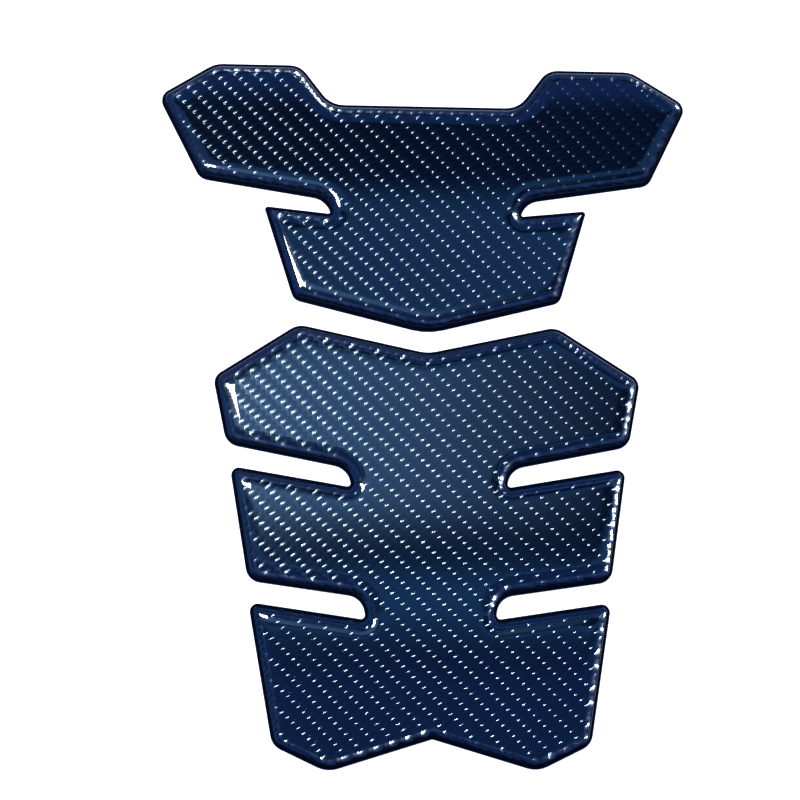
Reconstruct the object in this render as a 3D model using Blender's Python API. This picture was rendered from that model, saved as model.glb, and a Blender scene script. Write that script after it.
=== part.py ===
"""A fishbone tank pad: an upper and a lower pad, each a black film with a gel dome cast on it.

Metres, +Z up. The pads lie flat with the adhesive side on Z = 0. +Y points to the horns, the figure is
symmetric about X = 0, and the origin is under the middle of the whole figure.
"""

import math

import bmesh
import bpy
from mathutils import Vector

# The two layers of a pad
FILM_THICKNESS = 0.0004
RIM_WIDTH = 0.0005
DOME_HEIGHT = 0.0018
SHOULDER_WIDTH = 0.0065
CROWN_ROUNDING = 0.5

# The carbon weave, a twill that repeats after four tows and runs down to the right
TOW_PITCH = 0.00155
TOWS_PER_REPEAT = 4
RIDGE_HEIGHT = 0.00015

# The gap between the two pads on the axis of symmetry
PAD_GAP = 0.0060

# Upper pad: half widths from the axis, and heights from one corner to the next, upwards from the nose
NOSE_RADIUS = 0.0200
WING_FOOT_HALF_WIDTH = 0.0405
WING_FOOT_RISE = 0.0101
WING_FOOT_RADIUS = 0.0036
WING_TIP_HALF_WIDTH = 0.0494
WING_HEIGHT = 0.0291
WING_TIP_RADIUS = 0.0009
SIDE_NOTCH_DEPTH = 0.0203
SIDE_NOTCH_FALL = 0.0021
SIDE_NOTCH_END = 0.0044
SIDE_NOTCH_LEAN = 0.0016
SIDE_NOTCH_FLOOR_RADIUS = 0.0005
SIDE_NOTCH_ROOF_RADIUS = 0.0063
HORN_FOOT_HALF_WIDTH = 0.0688
HORN_FOOT_RISE = 0.0060
HORN_FOOT_RADIUS = 0.0046
HORN_POINT_HALF_WIDTH = 0.0816
HORN_SIDE_HEIGHT = 0.0259
HORN_POINT_RADIUS = 0.0038
HORN_OUTER_HALF_WIDTH = 0.0643
HORN_CROWN_RISE = 0.0107
HORN_OUTER_RADIUS = 0.0085
HORN_INNER_HALF_WIDTH = 0.0383
HORN_INNER_RADIUS = 0.0065
VALLEY_HALF_WIDTH = 0.0290
VALLEY_DEPTH = 0.0124
VALLEY_RADIUS = 0.0080

# Lower pad: half widths from the axis, and heights from one corner to the next, downwards from the top
CROWN_DIP = 0.0085
CROWN_DIP_RADIUS = 0.0120
CROWN_HALF_WIDTH = 0.0392
CROWN_RADIUS = 0.0062
FIRST_LOBE_HALF_WIDTH = 0.0646
FIRST_LOBE_SLOPE_DROP = 0.0164
FIRST_LOBE_RADIUS = 0.0038
FIRST_LOBE_FOOT_HALF_WIDTH = 0.0606
FIRST_LOBE_SIDE_HEIGHT = 0.0204
FIRST_LOBE_FOOT_RADIUS = 0.0052
SECOND_LOBE_HALF_WIDTH = 0.0596
SECOND_LOBE_RADIUS = 0.0023
SECOND_LOBE_FOOT_HALF_WIDTH = 0.0542
SECOND_LOBE_HEIGHT = 0.0344
SECOND_LOBE_FOOT_RADIUS = 0.0048
THIRD_LOBE_HALF_WIDTH = 0.0541
THIRD_LOBE_RADIUS = 0.0024
THIRD_LOBE_FOOT_HALF_WIDTH = 0.0471
THIRD_LOBE_HEIGHT = 0.0421
THIRD_LOBE_FOOT_RADIUS = 0.0054
LEG_HALF_WIDTH = 0.0310
LEG_DROP = 0.0078
LEG_RADIUS = 0.0084
CROTCH_RISE = 0.0095
CROTCH_RADIUS = 0.0012

# Notches of the lower pad: mouth and end measured across, depth and fall along
FIRST_NOTCH_MOUTH = 0.0066
FIRST_NOTCH_DEPTH = 0.0363
FIRST_NOTCH_FALL = 0.0072
FIRST_NOTCH_END = 0.0056
FIRST_NOTCH_LEAN = 0.0009
FIRST_NOTCH_ROOF_RADIUS = 0.0060
FIRST_NOTCH_FLOOR_RADIUS = 0.0010
SECOND_NOTCH_MOUTH = 0.0063
SECOND_NOTCH_DEPTH = 0.0339
SECOND_NOTCH_FALL = 0.0049
SECOND_NOTCH_END = 0.0066
SECOND_NOTCH_LEAN = 0.0009
SECOND_NOTCH_ROOF_RADIUS = 0.0056
SECOND_NOTCH_FLOOR_RADIUS = 0.0012

# How finely round stretches are divided
ARC_STEP = math.radians(12.0)
SHOULDER_STEPS = 5
CUT_TOLERANCE = 0.00001

# Colours and finish
FILM_COLOUR = (0.006, 0.006, 0.008, 1.0)
FILM_ROUGHNESS = 0.45
DOME_COLOUR = (0.010, 0.016, 0.045, 1.0)
DOME_ROUGHNESS = 0.12
DOME_METALLIC = 0.35


def upper_half_corners():
    """The upper pad's corners (x, y, radius) right of the axis, from the nose up to the valley."""
    wing_foot = WING_FOOT_RISE
    wing_tip = wing_foot + WING_HEIGHT
    notch_floor = wing_tip - SIDE_NOTCH_FALL
    notch_floor_x = WING_TIP_HALF_WIDTH - SIDE_NOTCH_DEPTH
    notch_roof = notch_floor + SIDE_NOTCH_END
    horn_foot = notch_roof + HORN_FOOT_RISE
    horn_point = horn_foot + HORN_SIDE_HEIGHT
    horn_top = horn_point + HORN_CROWN_RISE
    valley = horn_top - VALLEY_DEPTH
    return [
        (0.0, 0.0, NOSE_RADIUS),
        (WING_FOOT_HALF_WIDTH, wing_foot, WING_FOOT_RADIUS),
        (WING_TIP_HALF_WIDTH, wing_tip, WING_TIP_RADIUS),
        (notch_floor_x, notch_floor, SIDE_NOTCH_FLOOR_RADIUS),
        (notch_floor_x + SIDE_NOTCH_LEAN, notch_roof, SIDE_NOTCH_ROOF_RADIUS),
        (HORN_FOOT_HALF_WIDTH, horn_foot, HORN_FOOT_RADIUS),
        (HORN_POINT_HALF_WIDTH, horn_point, HORN_POINT_RADIUS),
        (HORN_OUTER_HALF_WIDTH, horn_top, HORN_OUTER_RADIUS),
        (HORN_INNER_HALF_WIDTH, horn_top, HORN_INNER_RADIUS),
        (VALLEY_HALF_WIDTH, valley, VALLEY_RADIUS),
    ]


def lower_half_corners():
    """The lower pad's corners (x, y, radius) right of the axis, from the crotch up to the dip."""
    crown = -PAD_GAP + CROWN_DIP
    first_lobe = crown - FIRST_LOBE_SLOPE_DROP
    first_foot = first_lobe - FIRST_LOBE_SIDE_HEIGHT
    first_roof_x = FIRST_LOBE_FOOT_HALF_WIDTH - FIRST_NOTCH_DEPTH
    first_roof = first_foot - FIRST_NOTCH_FALL
    second_lobe = first_foot - FIRST_NOTCH_MOUTH
    second_foot = second_lobe - SECOND_LOBE_HEIGHT
    second_roof_x = SECOND_LOBE_FOOT_HALF_WIDTH - SECOND_NOTCH_DEPTH
    second_roof = second_foot - SECOND_NOTCH_FALL
    third_lobe = second_foot - SECOND_NOTCH_MOUTH
    third_foot = third_lobe - THIRD_LOBE_HEIGHT
    leg = third_foot - LEG_DROP
    return [
        (0.0, leg + CROTCH_RISE, CROTCH_RADIUS),
        (LEG_HALF_WIDTH, leg, LEG_RADIUS),
        (THIRD_LOBE_FOOT_HALF_WIDTH, third_foot, THIRD_LOBE_FOOT_RADIUS),
        (THIRD_LOBE_HALF_WIDTH, third_lobe, THIRD_LOBE_RADIUS),
        (second_roof_x - SECOND_NOTCH_LEAN, second_roof - SECOND_NOTCH_END, SECOND_NOTCH_FLOOR_RADIUS),
        (second_roof_x, second_roof, SECOND_NOTCH_ROOF_RADIUS),
        (SECOND_LOBE_FOOT_HALF_WIDTH, second_foot, SECOND_LOBE_FOOT_RADIUS),
        (SECOND_LOBE_HALF_WIDTH, second_lobe, SECOND_LOBE_RADIUS),
        (first_roof_x - FIRST_NOTCH_LEAN, first_roof - FIRST_NOTCH_END, FIRST_NOTCH_FLOOR_RADIUS),
        (first_roof_x, first_roof, FIRST_NOTCH_ROOF_RADIUS),
        (FIRST_LOBE_FOOT_HALF_WIDTH, first_foot, FIRST_LOBE_FOOT_RADIUS),
        (FIRST_LOBE_HALF_WIDTH, first_lobe, FIRST_LOBE_RADIUS),
        (CROWN_HALF_WIDTH, crown, CROWN_RADIUS),
        (0.0, -PAD_GAP, CROWN_DIP_RADIUS),
    ]


def whole_outline(half_corners):
    """The corners of both halves, anticlockwise, as (point, radius)."""
    right = [(Vector((x, y)), radius) for x, y, radius in half_corners]
    left = [(Vector((-x, y)), radius) for x, y, radius in reversed(half_corners) if x > 0.0]
    return right + left


def edge_directions(points):
    """The unit directions of a closed polygon's edges, each from its point to the next one."""
    return [(points[(i + 1) % len(points)] - points[i]).normalized() for i in range(len(points))]


def turn_at(before, after):
    """The signed angle between two edge directions, positive at a corner that points outwards."""
    return math.atan2(before.x * after.y - before.y * after.x, before.dot(after))


def fitted_radii(corners):
    """The corners' radii, made smaller where two neighbouring arcs would not fit on their edge."""
    points = [point for point, _ in corners]
    directions = edge_directions(points)
    halves = [abs(turn_at(directions[i - 1], directions[i])) / 2.0 for i in range(len(points))]
    lengths = [radius * math.tan(half) for (_, radius), half in zip(corners, halves)]
    shares = [1.0] * len(points)
    for i in range(len(points)):
        after = (i + 1) % len(points)
        needed = lengths[i] + lengths[after]
        share = min(1.0, (points[after] - points[i]).length / needed)
        shares[i] = min(shares[i], share)
        shares[after] = min(shares[after], share)
    return [radius * share for (_, radius), share in zip(corners, shares)]


def ring(corners, radii, inset):
    """The rounded outline moved inwards by inset, with as many points whatever the inset is.

    A corner that points outwards gets rounder again as the ring shrinks, as the crown of a drop does.
    """
    directions = edge_directions([point for point, _ in corners])
    points = []
    for i, (corner, _) in enumerate(corners):
        before = directions[i - 1]
        after = directions[i]
        inward_before = Vector((-before.y, before.x))
        inward_after = Vector((-after.y, after.x))
        spread = 1.0 + inward_before.dot(inward_after)
        tip = corner + (inward_before + inward_after) * (inset / spread)
        turn = turn_at(before, after)
        if turn > 0.0:
            radius = max(radii[i] - inset, CROWN_ROUNDING * inset)
        else:
            radius = radii[i] + inset
        side = math.copysign(radius, turn)
        centre = tip - before * (radius * math.tan(abs(turn) / 2.0)) + inward_before * side
        steps = max(2, math.ceil(abs(turn) / ARC_STEP))
        for step in range(steps + 1):
            angle = turn * step / steps
            turned = inward_before * math.cos(angle) - before * math.sin(angle)
            points.append(centre - turned * side)
    return points


def shoulder_levels():
    """The (inset, height) pairs of the dome's rings, a quarter of an ellipse from foot to crown."""
    levels = []
    for step in range(SHOULDER_STEPS + 1):
        angle = math.pi / 2.0 * step / SHOULDER_STEPS
        inset = RIM_WIDTH + SHOULDER_WIDTH * (1.0 - math.cos(angle))
        levels.append((inset, FILM_THICKNESS + DOME_HEIGHT * math.sin(angle)))
    return levels


def ridge_share(across, pitch):
    """How high a triangular ridge stands at a place across the twill, from 0 to 1."""
    place = across / pitch
    return abs(2.0 * (place - math.floor(place)) - 1.0)


def raise_twill(bm, crown_height, band_height):
    """Cut the crown along the twill's lines and lift every other line into a ridge."""
    across = Vector((1.0, 1.0, 0.0)).normalized()
    pitch = TOW_PITCH * TOWS_PER_REPEAT * math.sqrt(0.5)
    reach = max(abs(vert.co.dot(across)) for vert in bm.verts)
    lines = math.ceil(reach / (pitch / 2.0))
    for line in range(-lines, lines + 1):
        top_faces = [face for face in bm.faces if min(v.co.z for v in face.verts) > band_height]
        edges = dict.fromkeys(edge for face in top_faces for edge in face.edges)
        verts = dict.fromkeys(vert for face in top_faces for vert in face.verts)
        bmesh.ops.bisect_plane(
            bm,
            geom=[*verts, *edges, *top_faces],
            dist=CUT_TOLERANCE,
            plane_co=across * (line * pitch / 2.0),
            plane_no=across,
        )
    for vert in bm.verts:
        if vert.co.z > crown_height:
            vert.co.z += RIDGE_HEIGHT * ridge_share(vert.co.dot(across), pitch)


def named_material(name, colour, roughness, metallic):
    """A Principled material in one colour."""
    material = bpy.data.materials.new(name)
    material.use_nodes = True
    shader = material.node_tree.nodes["Principled BSDF"]
    shader.inputs["Base Color"].default_value = colour
    shader.inputs["Roughness"].default_value = roughness
    shader.inputs["Metallic"].default_value = metallic
    material.diffuse_color = colour
    return material


def add_film(name, corners, radii, collection):
    """A film cut to the outline, from Z = 0 up."""
    curve = bpy.data.curves.new(name, "CURVE")
    curve.dimensions = "2D"
    curve.fill_mode = "BOTH"
    curve.extrude = FILM_THICKNESS / 2.0
    points = ring(corners, radii, 0.0)
    spline = curve.splines.new("POLY")
    spline.points.add(len(points) - 1)
    for spline_point, point in zip(spline.points, points):
        spline_point.co = (point.x, point.y, 0.0, 1.0)
    spline.use_cyclic_u = True
    curve.materials.append(named_material(name + "_vinyl", FILM_COLOUR, FILM_ROUGHNESS, 0.0))
    film = bpy.data.objects.new(name, curve)
    film.location.z = FILM_THICKNESS / 2.0
    collection.objects.link(film)


def add_dome(name, corners, radii, collection):
    """A gel dome on the film: a loft of shrinking rings, closed below and ridged on its crown."""
    levels = shoulder_levels()
    bm = bmesh.new()
    rings = []
    for inset, height in levels:
        rings.append([bm.verts.new((p.x, p.y, height)) for p in ring(corners, radii, inset)])
    count = len(rings[0])
    for lower, upper in zip(rings, rings[1:]):
        for i in range(count):
            after = (i + 1) % count
            bm.faces.new((lower[i], lower[after], upper[after], upper[i]))
    bm.faces.new(rings[-1])
    bm.faces.new(reversed(rings[0]))
    crown = levels[-1][1]
    band = levels[-2][1]
    below = levels[-3][1]
    raise_twill(bm, (crown + band) / 2.0, (band + below) / 2.0)
    mesh = bpy.data.meshes.new(name)
    bm.to_mesh(mesh)
    bm.free()
    mesh.shade_smooth()
    mesh.set_sharp_from_angle(angle=math.radians(40.0))
    mesh.materials.append(named_material(name + "_gel", DOME_COLOUR, DOME_ROUGHNESS, DOME_METALLIC))
    collection.objects.link(bpy.data.objects.new(name, mesh))


def centred(outlines):
    """The outlines moved so that the whole figure's box has its middle on the origin."""
    points = [p for corners in outlines for p in ring(corners, fitted_radii(corners), 0.0)]
    middle = (min(p.y for p in points) + max(p.y for p in points)) / 2.0
    return [[(point - Vector((0.0, middle)), radius) for point, radius in corners] for corners in outlines]


def build():
    """Clear the scene and make the four pieces."""
    for thing in list(bpy.data.objects):
        bpy.data.objects.remove(thing, do_unlink=True)
    collection = bpy.data.collections.new("fishbone_sticker")
    bpy.context.scene.collection.children.link(collection)
    outlines = centred([whole_outline(upper_half_corners()), whole_outline(lower_half_corners())])
    for name, corners in zip(("upper", "lower"), outlines):
        radii = fitted_radii(corners)
        add_film(name + "_film", corners, radii, collection)
        add_dome(name + "_dome", corners, radii, collection)


build()
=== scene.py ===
"""The looks of the fishbone tank pad: two gel domes with a carbon weave, each on its black film.

Metres, +Z up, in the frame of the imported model. The outlines below are in millimetres.
"""

import math

import bpy
from mathutils import Matrix, Vector
from mathutils.bvhtree import BVHTree
from mathutils.geometry import delaunay_2d_cdt


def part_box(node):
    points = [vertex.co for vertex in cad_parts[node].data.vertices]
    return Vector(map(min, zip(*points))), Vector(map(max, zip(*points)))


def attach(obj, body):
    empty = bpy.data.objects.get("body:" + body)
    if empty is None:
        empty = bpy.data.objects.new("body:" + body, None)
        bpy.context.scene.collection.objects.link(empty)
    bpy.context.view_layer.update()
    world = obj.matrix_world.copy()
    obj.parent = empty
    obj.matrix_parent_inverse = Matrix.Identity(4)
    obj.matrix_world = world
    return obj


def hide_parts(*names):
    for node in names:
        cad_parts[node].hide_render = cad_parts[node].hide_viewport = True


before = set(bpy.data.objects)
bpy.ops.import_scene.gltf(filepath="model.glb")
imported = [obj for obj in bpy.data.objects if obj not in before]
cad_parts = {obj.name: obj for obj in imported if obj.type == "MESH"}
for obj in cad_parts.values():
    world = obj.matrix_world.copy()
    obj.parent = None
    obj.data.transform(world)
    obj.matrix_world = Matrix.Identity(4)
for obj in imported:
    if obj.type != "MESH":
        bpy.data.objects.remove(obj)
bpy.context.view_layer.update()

MM = 0.001

# The gel dome, whose rise to its full height is a meniscus: steep at the foot, flatter further in.
# The film's black material, which has no gloss, covers the foot as far as the painted dark edge: a
# painted dark outline in place of the gel's own reflection there.
DOME_HEIGHT = 1.8 * MM
RIM_WIDTH = 0.5 * MM
MENISCUS = 1.2 * MM
PAINTED_DARK_EDGE = 0.97 * MM
CORNER_ROUNDING = 0.7

# The net that is shaped to the dome: rings along the outline, then small triangles over the crown
LOFT_DEPTH = 3.0 * MM
LOFT_STEPS = 18
ARC_STEP = math.radians(5.0)
CELL = 0.38 * MM
CELL_CLEARANCE = 0.6 * CELL
SAME_POINT = 1e-9
NORMAL_BLURS = 5
SHARP_EDGE = math.radians(60.0)

# The rings that tell how far inside the outline a place on the crown lies
DEEPEST_RING = 6.0 * MM
RING_STEP = 0.5 * MM

# The carbon weave, a twill whose tows rise in one glossy knuckle to each step of its diagonals.
# A knuckle's half sizes are in tow pitches, and its top and its rim are shares of them.
TOW_PITCH = 1.555 * MM
WEAVE_TURN = math.radians(-0.6)
WEAVE_STARTS = 3.2 * MM
WEAVE_IS_FULL = 5.4 * MM
KNUCKLE_PLACE = (0.5, 1.0)
KNUCKLE_SLOPE = 0.165
KNUCKLE_POWER = 2.2
KNUCKLE_HALF_LENGTH = 0.80
KNUCKLE_HALF_WIDTH = 1.20
KNUCKLE_TOP = 0.01
KNUCKLE_RIM = (1.15, 0.85)
UNEVENNESS = 0.03
UNEVEN_PATCH = 0.6 * MM

# Where the tows change, from not at all to fully. By inset, they stand up and lose the painted sheen
# that they have under the shoulder. By place, they lie flatter in the upper lobes on the left, and
# have a smoother finish in the lower third.
TOWS_STAND_UP = (2.2 * MM, 3.2 * MM)
TOWS_LOSE_PAINTED_SHEEN = (2.6 * MM, 3.2 * MM)
FLATTER_LEFTWARDS = (20.0 * MM, -50.0 * MM)
FLATTER_ABOVE = (-70.0 * MM, -45.0 * MM)
FLATTER_BELOW = (60.0 * MM, 30.0 * MM)
SMOOTHER_DOWNWARDS = (-10.0 * MM, -60.0 * MM)
FLATTENING = 0.45
EDGE_RELIEF = 0.35

# The colour of the tows: nearly black in the face; under the shoulder lighter and metallic, a
# painted sheen that makes the lamp show as bright strips along the edges
DARK_TOWS = ((0.0009, 0.0020, 0.0060, 1.0), (0.0017, 0.0036, 0.0100, 1.0))
PAINTED_SHEEN_TOWS = (0.0480, 0.0600, 0.0720, 1.0)
TOW_GLOSS = 0.18
TOW_TINT = (0.62, 0.88, 1.0, 1.0)
FACE_ROUGHNESS = 0.12
EDGE_ROUGHNESS = 0.16
FLAT_TOWS_ROUGHER = 0.05
LOWER_TOWS_SMOOTHER = 0.045

# The clear gel, which bends the light of the weave below it by Snell's law for small angles
GEL_INDEX = 1.5
GEL_ROUGHNESS = 0.03
STEEPEST_GEL = 0.2

# The vinyl film
FILM_COLOURS = ((0.0009, 0.0028, 0.0100, 1.0), (0.0018, 0.0050, 0.0160, 1.0))
FILM_ROUGHNESS = (0.38, 0.55)
FILM_GRAIN = 2200.0
FILM_GRAIN_DETAIL = 4.0
FILM_GRAIN_DEPTH = 0.01 * MM

# The white floor under the pads
FLOOR_HALF_WIDTH = 3.0
FLOOR_DROP = 0.1 * MM
FLOOR_PAINT = (0.80, 0.80, 0.80, 1.0)
FLOOR_GLOW = 0.85

# The room's ceiling and the dim bands on it that the gel mirrors: near edge, far edge, softness,
# whether it is a window's, which ends at both sides, and colour, all in the floor's frame
CEILING = 1.3
OVERHEAD = (0.97 * CEILING, 0.99 * CEILING)
CEILING_BANDS = (
    (0.176, 0.318, 0.030, True, (0.72, 1.65, 3.50)),
    (0.315, 0.440, 0.018, False, (0.13, 0.47, 1.30)),
    (0.095, 0.140, 0.030, False, (0.16, 0.62, 1.80)),
    (0.520, 0.900, 0.012, False, (0.08, 0.26, 1.10)),
    (-0.700, 0.075, 0.030, False, (0.06, 0.19, 0.80)),
)
WINDOW_RIGHT_END = (0.36, -0.02)
WINDOW_LEFT_END = (-0.45, -0.15)

# The room's walls, which are brightest in the far left corner
ROOM_HALF_WIDTH = 1.5
WALL_FOOT = 0.02
ROOM_PAINT = (0.02, 0.02, 0.025, 1.0)
WALL_COLOUR = (0.12, 0.27, 0.62)
WALL_BRIGHTENS = (-2.0, 1.5)
DIMMEST_WALL = 0.25

# The lamp, and the world's strength: as light on the pads, and where it is seen itself
LAMP_PLACE = (-0.165, 0.185, 0.85)
LAMP_SIZE = (0.20, 0.045)
LAMP_POWER = 6.8
WORLD_LIGHT = 0.9
WORLD_SEEN = 1.0

# Corners (x, y, radius) in millimetres right of the axis of symmetry, from the bottom to the top
UPPER_CORNERS = (
    (0.0, 23.4, 20.0),     # nose
    (40.5, 33.5, 3.6),     # foot of the wing
    (49.4, 62.6, 0.9),     # tip of the wing
    (29.1, 60.5, 0.5),     # floor of the side notch
    (30.7, 64.9, 6.3),     # roof of the side notch
    (68.8, 70.9, 4.6),     # foot of the horn
    (81.6, 96.8, 3.8),     # point of the horn
    (64.3, 107.5, 8.5),    # outer top of the horn
    (38.3, 107.5, 6.5),    # inner top of the horn
    (29.0, 95.1, 8.0),     # valley between the horns
)
LOWER_CORNERS = (
    (0.0, -98.6, 1.2),     # crotch between the legs
    (31.0, -108.1, 8.4),   # leg
    (47.1, -100.3, 5.4),   # foot of the third lobe
    (54.1, -58.2, 2.4),    # top of the third lobe
    (19.4, -63.4, 1.2),    # floor of the second notch
    (20.3, -56.8, 5.6),    # roof of the second notch
    (54.2, -51.9, 4.8),    # foot of the second lobe
    (59.6, -17.5, 2.3),    # top of the second lobe
    (23.4, -23.7, 1.0),    # floor of the first notch
    (24.3, -18.1, 6.0),    # roof of the first notch
    (60.6, -10.9, 5.2),    # foot of the first lobe
    (64.6, 9.5, 3.8),      # point of the first lobe
    (39.2, 25.9, 6.2),     # crown
    (0.0, 17.4, 12.0),     # dip of the top edge
)

# The camera of the photograph
CAMERA_PLACE = Vector((-0.0885, -0.1685, 0.8195))
CAMERA_RIGHT = Vector((0.9954, -0.0098, 0.0951))
CAMERA_UP = Vector((-0.0098, 0.9789, 0.2039))
CAMERA_LENS = 126.0
CAMERA_SENSOR = 36.0


def outline_corners(half_corners):
    """Both halves' corners as (point, radius) in metres, anticlockwise."""
    right = [(Vector((x, y)) * MM, radius * MM) for x, y, radius in half_corners]
    left = [(Vector((-p.x, p.y)), radius) for p, radius in reversed(right) if p.x > 0.0]
    return right + left


def outline_ring(corners, inset):
    """The rounded outline moved inwards by inset, with as many points whatever the inset is."""
    count = len(corners)
    directions = [(corners[(i + 1) % count][0] - corners[i][0]).normalized() for i in range(count)]
    points = []
    for i, (corner, corner_radius) in enumerate(corners):
        before, after = directions[i - 1], directions[i]
        inward_before = Vector((-before.y, before.x))
        inward_after = Vector((-after.y, after.x))
        spread = 1.0 + inward_before.dot(inward_after)
        tip = corner + (inward_before + inward_after) * (inset / spread)
        turn = math.atan2(before.x * after.y - before.y * after.x, before.dot(after))
        if turn > 0.0:
            radius = max(corner_radius - inset, CORNER_ROUNDING * inset)
        else:
            radius = corner_radius + inset
        side = math.copysign(radius, turn)
        centre = tip - before * (radius * math.tan(abs(turn) / 2.0)) + inward_before * side
        steps = max(2, math.ceil(abs(turn) / ARC_STEP))
        for step in range(steps + 1):
            angle = turn * step / steps
            turned = inward_before * math.cos(angle) - before * math.sin(angle)
            points.append(centre - turned * side)
    return points


def loft_insets():
    """Insets of the dome's outer rings, spaced as equal steps of its height."""
    last = 1.0 - math.exp((RIM_WIDTH - LOFT_DEPTH) / MENISCUS)
    return [
        RIM_WIDTH - MENISCUS * math.log(1.0 - last * step / LOFT_STEPS)
        for step in range(LOFT_STEPS + 1)
    ]


def faces_between_rings(rings, count):
    """Quads between rings of count points each, whose points follow one another."""
    faces = []
    for level in range(rings - 1):
        low, high = level * count, (level + 1) * count
        for i in range(count):
            after = (i + 1) % count
            faces.append((low + i, low + after, high + after, high + i))
    return faces


def inset_field(corners):
    """A surface whose height above a place is that place's inset from the outline."""
    rings = []
    inset = LOFT_DEPTH - RING_STEP
    while inset <= DEEPEST_RING:
        rings.append([Vector((p.x, p.y, inset)) for p in outline_ring(corners, inset)])
        inset += RING_STEP
    count = len(rings[0])
    points = [point for ring in rings for point in ring]
    faces = faces_between_rings(len(rings), count)
    faces.append(tuple(range(len(points) - count, len(points))))
    return BVHTree.FromPolygons(points, faces)


def crown_points(corners):
    """A net of points CELL apart inside the loft's last ring, each with its inset."""
    field = inset_field(corners)
    row_step = CELL * math.sqrt(0.75)
    xs = [point.x for point, _ in corners]
    ys = [point.y for point, _ in corners]
    points = []
    for row in range(math.ceil((max(ys) - min(ys)) / row_step)):
        y = min(ys) + row * row_step
        shift = CELL / 2.0 * (row % 2)
        for column in range(math.ceil((max(xs) - min(xs)) / CELL)):
            x = min(xs) + column * CELL + shift
            hit = field.ray_cast(Vector((x, y, 1.0)), Vector((0.0, 0.0, -1.0)))[0]
            if hit is not None and hit.z > LOFT_DEPTH + CELL_CLEARANCE:
                points.append((Vector((x, y)), hit.z))
    return points


def flat_pad_mesh(name, corners, height):
    """The pad's net, flat at the given height, with every point's inset kept as an attribute."""
    rings = [(inset, outline_ring(corners, inset)) for inset in loft_insets()]
    count = len(rings[0][1])
    points = [point for _, ring in rings for point in ring]
    insets = [inset for inset, ring in rings for _ in ring]
    faces = faces_between_rings(len(rings), count)
    faces.append(tuple(reversed(range(count))))
    crown = crown_points(corners)
    boundary = rings[-1][1]
    places = boundary + [point for point, _ in crown]
    edges = [(i, (i + 1) % count) for i in range(count)]
    _, _, triangles, origins, _, _ = delaunay_2d_cdt(places, edges, [], 1, SAME_POINT)
    start = len(points) - count
    renamed = {}
    for new, sources in enumerate(origins):
        source = sources[0]
        if source < count:
            renamed[new] = start + source
        else:
            renamed[new] = len(points)
            points.append(crown[source - count][0])
            insets.append(crown[source - count][1])
    faces += [tuple(renamed[i] for i in face) for face in triangles]
    mesh = bpy.data.meshes.new(name)
    mesh.from_pydata([(p.x, p.y, height) for p in points], [], faces)
    attribute = mesh.attributes.new("inset", "FLOAT", "POINT")
    attribute.data.foreach_set("value", insets)
    mesh.update()
    return mesh


class Graph:
    """A node tree with short calls to add nodes, for Geometry Nodes and for materials alike."""

    def __init__(self, tree):
        self.tree = tree

    def add(self, kind, values=(), **settings):
        """A new node. values are sockets or constants for its first inputs, None to skip one."""
        node = self.tree.nodes.new(kind)
        for key, value in settings.items():
            setattr(node, key, value)
        for slot, value in enumerate(values):
            self.put(node.inputs[slot], value)
        return node

    def put(self, socket, value):
        """Links or sets one input."""
        if isinstance(value, bpy.types.NodeSocket):
            self.tree.links.new(value, socket)
        elif value is not None:
            socket.default_value = value

    def maths(self, operation, *values):
        """The result of one Math node."""
        return self.add("ShaderNodeMath", values, operation=operation).outputs[0]

    def mix(self, share, first, second):
        """A colour between two."""
        node = self.add("ShaderNodeMix", data_type="RGBA")
        self.put(node.inputs["Factor"], share)
        self.put(node.inputs["A"], first)
        self.put(node.inputs["B"], second)
        return node.outputs["Result"]

    def ramp(self, value, low, high):
        """A smooth step from 0 at low to 1 at high."""
        node = self.add("ShaderNodeMapRange", (value, low, high), interpolation_type="SMOOTHSTEP")
        return node.outputs[0]


def knuckle_places(graph, x, y):
    """Where a place in tow pitches lies in its knuckle: along it, across it, from its middle."""
    half = math.sqrt(0.5)
    middle_x, middle_y = KNUCKLE_PLACE
    middle_down = (middle_y - middle_x) * half
    middle_up = (middle_x + middle_y) * half
    down = graph.maths("MULTIPLY_ADD", graph.maths("SUBTRACT", x, y), half, middle_down)
    up = graph.maths("MULTIPLY_ADD", graph.maths("ADD", x, y), half, -middle_up)
    down = graph.maths("WRAP", down, half, -half)
    up = graph.maths("WRAP", up, 2.0 * half, -2.0 * half)
    along = graph.maths("DIVIDE", down, KNUCKLE_HALF_LENGTH)
    across = graph.maths("DIVIDE", up, KNUCKLE_HALF_WIDTH)
    square = graph.maths("MULTIPLY_ADD", along, along, graph.maths("MULTIPLY", across, across))
    square = graph.maths("MAXIMUM", square, KNUCKLE_TOP ** 2)
    return along, across, graph.maths("SQRT", square)


def knuckle_height(graph, x, y):
    """The weave's height at a place in tow pitches, as a share of the tow pitch."""
    radius = graph.maths("MINIMUM", knuckle_places(graph, x, y)[2], 1.0)
    drop = graph.maths("POWER", radius, KNUCKLE_POWER)
    top = KNUCKLE_SLOPE / KNUCKLE_POWER
    return graph.maths("MULTIPLY_ADD", drop, -top, top)


def knuckle_slopes(graph, x, y):
    """The weave's slopes along x and y at a place in tow pitches."""
    along, across, radius = knuckle_places(graph, x, y)
    steepness = graph.maths("POWER", radius, KNUCKLE_POWER - 2.0)
    steepness = graph.maths("MULTIPLY", steepness, graph.ramp(radius, *KNUCKLE_RIM))
    half = -KNUCKLE_SLOPE * math.sqrt(0.5)
    along = graph.maths("MULTIPLY", along, half / KNUCKLE_HALF_LENGTH)
    across = graph.maths("MULTIPLY", across, half / KNUCKLE_HALF_WIDTH)
    slope_x = graph.maths("MULTIPLY", graph.maths("ADD", across, along), steepness)
    slope_y = graph.maths("MULTIPLY", graph.maths("SUBTRACT", across, along), steepness)
    return slope_x, slope_y


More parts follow.
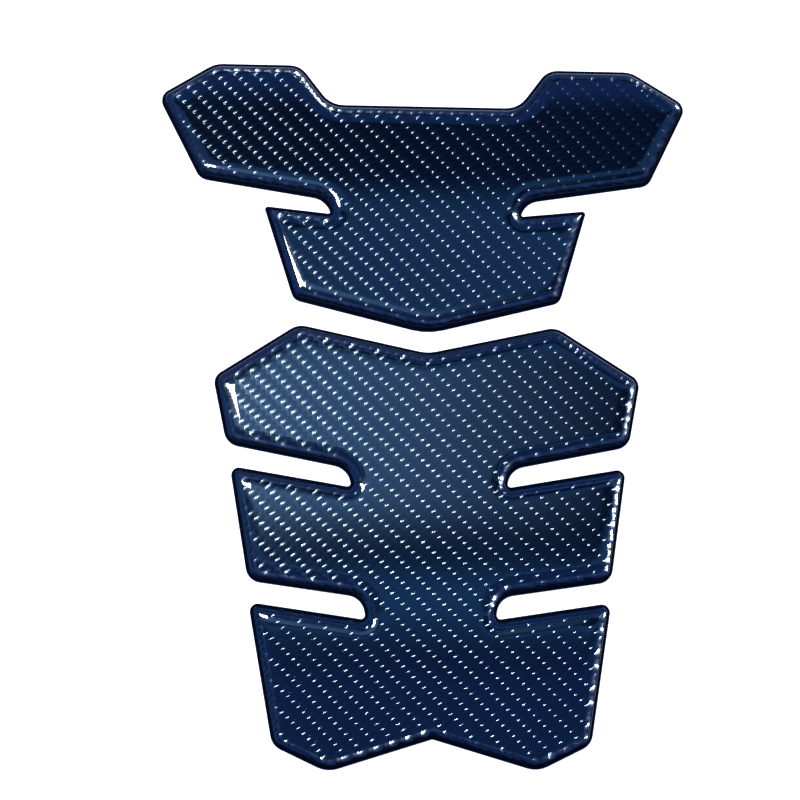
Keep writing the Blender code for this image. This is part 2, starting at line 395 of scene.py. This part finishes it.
def dome_tree():
    """Geometry Nodes that turn a flat net into the gel dome with its weave."""
    tree = bpy.data.node_groups.new("gel_dome_with_weave", "GeometryNodeTree")
    face = tree.interface
    face.new_socket("Net", in_out="INPUT", socket_type="NodeSocketGeometry")
    for label, value in (
        ("Dome Height", DOME_HEIGHT),
        ("Meniscus", MENISCUS),
        ("Rim Width", RIM_WIDTH),
        ("Painted Dark Edge", PAINTED_DARK_EDGE),
        ("Tow Pitch", TOW_PITCH),
        ("Weave Starts", WEAVE_STARTS),
        ("Weave Is Full", WEAVE_IS_FULL),
    ):
        face.new_socket(label, in_out="INPUT", socket_type="NodeSocketFloat").default_value = value
    face.new_socket("Gel", in_out="INPUT", socket_type="NodeSocketMaterial")
    face.new_socket("Film", in_out="INPUT", socket_type="NodeSocketMaterial")
    face.new_socket("Dome", in_out="OUTPUT", socket_type="NodeSocketGeometry")
    graph = Graph(tree)
    given = graph.add("NodeGroupInput").outputs
    inset = graph.add("GeometryNodeInputNamedAttribute", ("inset",), data_type="FLOAT").outputs[0]

    depth = graph.maths("SUBTRACT", given["Rim Width"], inset)
    missing = graph.maths("EXPONENT", graph.maths("DIVIDE", depth, given["Meniscus"]))
    height = graph.maths("MULTIPLY", graph.maths("SUBTRACT", 1.0, missing), given["Dome Height"])
    lift = graph.add("ShaderNodeCombineXYZ", (0.0, 0.0, height)).outputs[0]
    smooth = graph.add("GeometryNodeSetPosition", (given["Net"], None, None, lift))
    normal = graph.add("GeometryNodeInputNormal").outputs[0]
    blurred = graph.add("GeometryNodeBlurAttribute", data_type="FLOAT_VECTOR")
    graph.put(blurred.inputs["Value"], normal)
    graph.put(blurred.inputs["Iterations"], NORMAL_BLURS)
    kept = graph.add("GeometryNodeStoreNamedAttribute", data_type="FLOAT_VECTOR", domain="POINT")
    graph.put(kept.inputs["Geometry"], smooth.outputs[0])
    graph.put(kept.inputs["Name"], "gel_normal")
    graph.put(kept.inputs["Value"], blurred.outputs[0])

    place = graph.add("GeometryNodeInputPosition").outputs[0]
    turned = graph.add("ShaderNodeVectorRotate", (place,), rotation_type="Z_AXIS")
    turned.inputs["Angle"].default_value = -WEAVE_TURN
    split = graph.add("ShaderNodeSeparateXYZ", (turned.outputs[0],)).outputs
    x = graph.maths("DIVIDE", split[0], given["Tow Pitch"])
    y = graph.maths("DIVIDE", split[1], given["Tow Pitch"])
    fade = graph.ramp(inset, given["Weave Starts"], given["Weave Is Full"])
    top = graph.maths("MULTIPLY", knuckle_height(graph, x, y), given["Tow Pitch"])
    relief = graph.maths("MULTIPLY", top, fade)
    woven_lift = graph.add("ShaderNodeCombineXYZ", (0.0, 0.0, relief)).outputs[0]
    woven = graph.add("GeometryNodeSetPosition", (kept.outputs[0], None, None, woven_lift))
    whole = graph.add("GeometryNodeRealizeInstances", (woven.outputs[0],))
    gelled = graph.add("GeometryNodeSetMaterial", (whole.outputs[0], None, given["Gel"]))
    # Painted dark outline: the gel's foot, as far as this edge, gets the film's black material,
    # which has no gloss.
    edge = graph.maths("LESS_THAN", inset, given["Painted Dark Edge"])
    finished = graph.add("GeometryNodeSetMaterial", (gelled.outputs[0], edge, given["Film"]))
    graph.add("NodeGroupOutput", (finished.outputs[0],))
    return tree


def set_input(modifier, label, value):
    """Sets a Geometry Nodes modifier's input by its label."""
    for item in modifier.node_group.interface.items_tree:
        if item.name == label and item.in_out == "INPUT":
            modifier[item.identifier] = value


def dome_piece(name, half_corners, node, tree, gel, film):
    """A finished dome that stands for a CAD node."""
    low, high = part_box(node)
    mesh = flat_pad_mesh(name + "_net", outline_corners(half_corners), low.z)
    net = bpy.data.objects.new(name + "_net", mesh)
    bpy.context.scene.collection.objects.link(net)
    modifier = net.modifiers.new("Dome", "NODES")
    modifier.node_group = tree
    set_input(modifier, "Gel", gel)
    set_input(modifier, "Film", film)
    bpy.context.view_layer.update()
    evaluated = net.evaluated_get(bpy.context.evaluated_depsgraph_get())
    shaped = bpy.data.meshes.new_from_object(evaluated)
    bpy.data.objects.remove(net)
    shaped.name = name
    shaped.shade_smooth()
    shaped.set_sharp_from_angle(angle=SHARP_EDGE)
    piece = bpy.data.objects.new(name, shaped)
    bpy.context.scene.collection.objects.link(piece)
    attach(piece, "root")
    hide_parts(node)
    return piece


def new_material(name):
    """A node material, as its graph and its Principled shader."""
    material = bpy.data.materials.new(name)
    material.use_nodes = True
    return material, Graph(material.node_tree), material.node_tree.nodes["Principled BSDF"]


def flatter_share(graph, x, y):
    """How much flatter than elsewhere the tows lie at a place."""
    share = graph.maths("MULTIPLY", graph.ramp(x, *FLATTER_LEFTWARDS), FLATTENING)
    share = graph.maths("MULTIPLY", share, graph.ramp(y, *FLATTER_ABOVE))
    return graph.maths("MULTIPLY", share, graph.ramp(y, *FLATTER_BELOW))


def normal_through_gel(graph, slopes, relief, shakes, gel_normal):
    """The normal that the weave's slopes seem to have below the gel's surface."""
    lean = graph.add("ShaderNodeSeparateXYZ", (gel_normal,)).outputs
    upward = graph.maths("MAXIMUM", lean[2], STEEPEST_GEL)
    bent = []
    for slope, side, shake in zip(slopes, (lean[0], lean[1]), (shakes[0], shakes[1])):
        gel_tilt = graph.maths("MULTIPLY", graph.maths("DIVIDE", side, upward), 1.0 - GEL_INDEX)
        tilt = graph.maths("MULTIPLY_ADD", slope, relief, gel_tilt)
        shift = graph.maths("SUBTRACT", shake, 0.5)
        bent.append(graph.maths("MULTIPLY_ADD", shift, UNEVENNESS, tilt))
    seen = graph.add("ShaderNodeCombineXYZ", (bent[0], bent[1], 1.0)).outputs[0]
    return graph.add("ShaderNodeVectorMath", (seen,), operation="NORMALIZE").outputs[0]


def gel_material():
    """Dark blue carbon tows under clear gel, whose smooth surface bends their light; under the
    shoulder the tows carry a painted sheen.
    """
    material, graph, shader = new_material("navy_carbon_gel")
    place = graph.add("ShaderNodeTexCoord").outputs["Object"]
    woven = graph.add("ShaderNodeMapping", (place,))
    woven.inputs["Rotation"].default_value = (0.0, 0.0, -WEAVE_TURN)
    x, y, _ = graph.add("ShaderNodeSeparateXYZ", (woven.outputs[0],)).outputs
    inset = graph.add("ShaderNodeAttribute", attribute_name="inset").outputs["Fac"]
    uneven = graph.add("ShaderNodeTexNoise", (place,))
    uneven.inputs["Scale"].default_value = 1.0 / UNEVEN_PATCH
    uneven.inputs["Detail"].default_value = 1.0
    shakes = graph.add("ShaderNodeSeparateColor", (uneven.outputs["Color"],)).outputs

    tow_x = graph.maths("DIVIDE", x, TOW_PITCH)
    tow_y = graph.maths("DIVIDE", y, TOW_PITCH)
    slopes = knuckle_slopes(graph, tow_x, tow_y)
    flatter = flatter_share(graph, x, y)
    standing = graph.ramp(inset, *TOWS_STAND_UP)
    relief = graph.maths("MULTIPLY_ADD", standing, 1.0 - EDGE_RELIEF, EDGE_RELIEF)
    relief = graph.maths("MULTIPLY", relief, graph.maths("SUBTRACT", 1.0, flatter))
    relief = graph.maths("MULTIPLY", relief, -GEL_INDEX)
    gel_normal = graph.add("ShaderNodeAttribute", attribute_name="gel_normal").outputs["Vector"]
    graph.put(shader.inputs["Normal"], normal_through_gel(graph, slopes, relief, shakes, gel_normal))
    graph.put(shader.inputs["Coat Normal"], gel_normal)

    # Painted sheen: under the shoulder the tows turn lighter and metallic, so that the lamp shows as
    # bright strips along the edges; in the face they stay near black.
    dark = graph.ramp(inset, *TOWS_LOSE_PAINTED_SHEEN)
    dark_tows = graph.mix(shakes[2], *DARK_TOWS)
    graph.put(shader.inputs["Base Color"], graph.mix(dark, PAINTED_SHEEN_TOWS, dark_tows))
    graph.put(shader.inputs["Metallic"], graph.maths("SUBTRACT", 1.0, dark))
    roughness = graph.maths("MULTIPLY_ADD", dark, FACE_ROUGHNESS - EDGE_ROUGHNESS, EDGE_ROUGHNESS)
    roughness = graph.maths("MULTIPLY_ADD", flatter, FLAT_TOWS_ROUGHER, roughness)
    smoother = graph.ramp(y, *SMOOTHER_DOWNWARDS)
    roughness = graph.maths("MULTIPLY_ADD", smoother, -LOWER_TOWS_SMOOTHER, roughness)
    graph.put(shader.inputs["Roughness"], roughness)
    shader.inputs["Specular IOR Level"].default_value = TOW_GLOSS
    shader.inputs["Specular Tint"].default_value = TOW_TINT
    shader.inputs["Coat Weight"].default_value = 1.0
    shader.inputs["Coat Roughness"].default_value = GEL_ROUGHNESS
    shader.inputs["Coat IOR"].default_value = GEL_INDEX
    return material


def film_material():
    """Blue-black satin vinyl with a fine grain, also laid on the gel's foot as a painted dark
    outline.
    """
    material, graph, shader = new_material("black_vinyl_film")
    place = graph.add("ShaderNodeTexCoord").outputs["Object"]
    grain = graph.add("ShaderNodeTexNoise", (place,))
    grain.inputs["Scale"].default_value = FILM_GRAIN
    grain.inputs["Detail"].default_value = FILM_GRAIN_DETAIL
    graph.put(shader.inputs["Base Color"], graph.mix(grain.outputs[0], *FILM_COLOURS))
    shader.inputs["Specular IOR Level"].default_value = 0.0
    roughness = graph.add("ShaderNodeMapRange", (grain.outputs[0], 0.0, 1.0, *FILM_ROUGHNESS))
    graph.put(shader.inputs["Roughness"], roughness.outputs[0])
    bump = graph.add("ShaderNodeBump")
    bump.inputs["Distance"].default_value = FILM_GRAIN_DEPTH
    graph.put(bump.inputs["Height"], grain.outputs[0])
    graph.put(shader.inputs["Normal"], bump.outputs[0])
    return material


def seen_directly(graph):
    """1 for rays from the camera, mirrors and glass, 0 for the rest."""
    path = graph.add("ShaderNodeLightPath").outputs
    direct = graph.maths("MAXIMUM", path["Is Camera Ray"], path["Is Glossy Ray"])
    return graph.maths("MAXIMUM", direct, path["Is Transmission Ray"])


def make_floor():
    """A plain white floor that keeps the pads' shadow."""
    half = FLOOR_HALF_WIDTH
    mesh = bpy.data.meshes.new("floor")
    corners = [(-half, -half, 0.0), (half, -half, 0.0), (half, half, 0.0), (-half, half, 0.0)]
    mesh.from_pydata(corners, [], [(0, 1, 2, 3)])
    mesh.transform(Matrix.Translation((0.0, 0.0, -FLOOR_DROP)))
    floor = bpy.data.objects.new("floor", mesh)
    bpy.context.scene.collection.objects.link(floor)
    material, graph, shader = new_material("white_floor")
    shader.inputs["Base Color"].default_value = FLOOR_PAINT
    shader.inputs["Roughness"].default_value = 1.0
    shader.inputs["Specular IOR Level"].default_value = 0.0
    shader.inputs["Emission Color"].default_value = (1.0, 1.0, 1.0, 1.0)
    glow = graph.maths("MULTIPLY", seen_directly(graph), FLOOR_GLOW)
    graph.put(shader.inputs["Emission Strength"], glow)
    mesh.materials.append(material)


def dimmed(graph, colour, share):
    """The colour times a share."""
    scaled = graph.add("ShaderNodeVectorMath", operation="SCALE")
    scaled.inputs[0].default_value = colour
    graph.put(scaled.inputs["Scale"], share)
    return scaled.outputs[0]


def make_room():
    """A dark room that the gel mirrors, with a faint glow on its walls and bands on its ceiling."""
    half = ROOM_HALF_WIDTH
    corners = [(-half, -half), (-half, half), (half, half), (half, -half)]
    low = [(x, y, WALL_FOOT) for x, y in corners]
    high = [(x, y, CEILING) for x, y in corners]
    faces = [(4, 5, 6, 7)] + [(i, (i + 1) % 4, 4 + (i + 1) % 4, 4 + i) for i in range(4)]
    mesh = bpy.data.meshes.new("dark_room")
    mesh.from_pydata(low + high, [], faces)
    room = bpy.data.objects.new("dark_room", mesh)
    bpy.context.scene.collection.objects.link(room)
    room.visible_camera = False
    material, graph, shader = new_material("dark_room_walls")
    shader.inputs["Base Color"].default_value = ROOM_PAINT
    shader.inputs["Roughness"].default_value = 1.0
    shader.inputs["Specular IOR Level"].default_value = 0.0
    place = graph.add("ShaderNodeTexCoord").outputs["Object"]
    x, y, z = graph.add("ShaderNodeSeparateXYZ", (place,)).outputs
    window_end = graph.ramp(x, *WINDOW_RIGHT_END)
    window = graph.maths("MULTIPLY", window_end, graph.ramp(x, *WINDOW_LEFT_END))
    overhead = graph.ramp(z, *OVERHEAD)
    far_left = graph.ramp(graph.maths("SUBTRACT", y, x), *WALL_BRIGHTENS)
    wall = graph.maths("MULTIPLY_ADD", far_left, 1.0 - DIMMEST_WALL, DIMMEST_WALL)
    wall = graph.maths("MULTIPLY", wall, graph.maths("SUBTRACT", 1.0, overhead))
    glow = dimmed(graph, WALL_COLOUR, wall)
    for near, far, soft, is_window, colour in CEILING_BANDS:
        starts = graph.ramp(y, near - soft, near + soft)
        ends = graph.ramp(y, far + soft, far - soft)
        band = graph.maths("MULTIPLY", graph.maths("MULTIPLY", starts, ends), overhead)
        if is_window:
            band = graph.maths("MULTIPLY", band, window)
        lit = dimmed(graph, colour, band)
        glow = graph.add("ShaderNodeVectorMath", (glow, lit), operation="ADD").outputs[0]
    graph.put(shader.inputs["Emission Color"], glow)
    shader.inputs["Emission Strength"].default_value = 1.0
    mesh.materials.append(material)


def make_lamp():
    """A rectangular lamp that faces the origin, with its long side level and along X."""
    light = bpy.data.lights.new("ceiling_lamp", "AREA")
    light.shape = "RECTANGLE"
    light.size, light.size_y = LAMP_SIZE
    light.energy = LAMP_POWER
    lamp = bpy.data.objects.new("ceiling_lamp", light)
    back = Vector(LAMP_PLACE).normalized()
    side = Vector((0.0, 1.0, 0.0)).cross(back).normalized()
    turn = Matrix((side, back.cross(side), back)).transposed()
    lamp.matrix_world = Matrix.Translation(LAMP_PLACE) @ turn.to_4x4()
    bpy.context.scene.collection.objects.link(lamp)


def make_world():
    """White where it is seen, and a soft grey light on everything else."""
    world = bpy.data.worlds.new("studio")
    bpy.context.scene.world = world
    world.use_nodes = True
    graph = Graph(world.node_tree)
    background = world.node_tree.nodes["Background"]
    background.inputs["Color"].default_value = (1.0, 1.0, 1.0, 1.0)
    seen = seen_directly(graph)
    strength = graph.add("ShaderNodeMapRange", (seen, 0.0, 1.0, WORLD_LIGHT, WORLD_SEEN))
    graph.put(background.inputs["Strength"], strength.outputs[0])


def make_camera():
    """The photograph's view, from above and a little from the lower left."""
    data = bpy.data.cameras.new("photo_camera")
    data.lens = CAMERA_LENS
    data.sensor_width = CAMERA_SENSOR
    camera = bpy.data.objects.new("photo_camera", data)
    back = CAMERA_RIGHT.cross(CAMERA_UP)
    turn = Matrix((CAMERA_RIGHT, CAMERA_UP, back)).transposed()
    camera.matrix_world = Matrix.Translation(CAMERA_PLACE) @ turn.to_4x4()
    bpy.context.scene.collection.objects.link(camera)
    bpy.context.scene.camera = camera


gel = gel_material()
film = film_material()
tree = dome_tree()
for pad, half_corners in (("upper", UPPER_CORNERS), ("lower", LOWER_CORNERS)):
    dome_piece(pad + "_gel_dome", half_corners, pad + "_dome", tree, gel, film)
    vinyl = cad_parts[pad + "_film"]
    vinyl.data.materials.clear()
    vinyl.data.materials.append(film)

make_floor()
make_room()
make_world()
make_camera()
make_lamp()

bpy.context.scene.view_settings.view_transform = "Standard"
